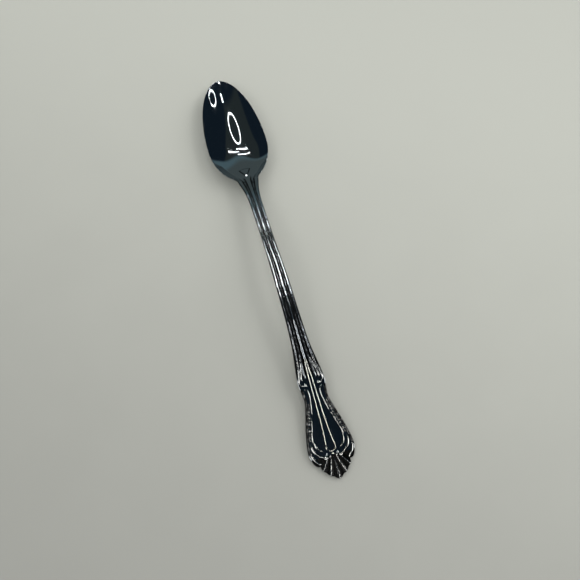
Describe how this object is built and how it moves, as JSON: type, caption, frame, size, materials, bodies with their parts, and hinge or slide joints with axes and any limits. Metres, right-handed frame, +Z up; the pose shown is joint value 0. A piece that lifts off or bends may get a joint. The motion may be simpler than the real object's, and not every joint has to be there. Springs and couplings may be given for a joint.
{
  "type": "demitasse spoon",
  "caption": "Small long-handled spoon with an egg-shaped bowl, an arched reeded stem and a flared handle end with a teardrop loop, scrolls, bead borders and a shell tip.",
  "frame": {"origin": "on the table, under the middle of the spoon's box", "axes": "+Y along the spoon towards the bowl tip, +X across it, +Z up out of the bowl"},
  "size_m": [0.0202, 0.14, 0.0119],
  "materials": {
    "polished_steel": "mirror polished with fine wear scratches",
    "darkened_ground": "polished, darkened in its recesses",
    "raised_relief": "polished on the high points, darkened at the foot"
  },
  "bodies": {
    "root": {"bowl": "polished_steel", "heel_drop": "polished_steel", "stem": "polished_steel", "handle_plate": "darkened_ground", "centre_loop": "raised_relief", "shoulder_scroll_left": "raised_relief", "shoulder_scroll_right": "raised_relief", "border_left": "raised_relief", "border_right": "raised_relief", "foot_scroll_left": "raised_relief", "foot_scroll_right": "raised_relief", "shell_tip": "raised_relief"}
  },
  "joints": []
}
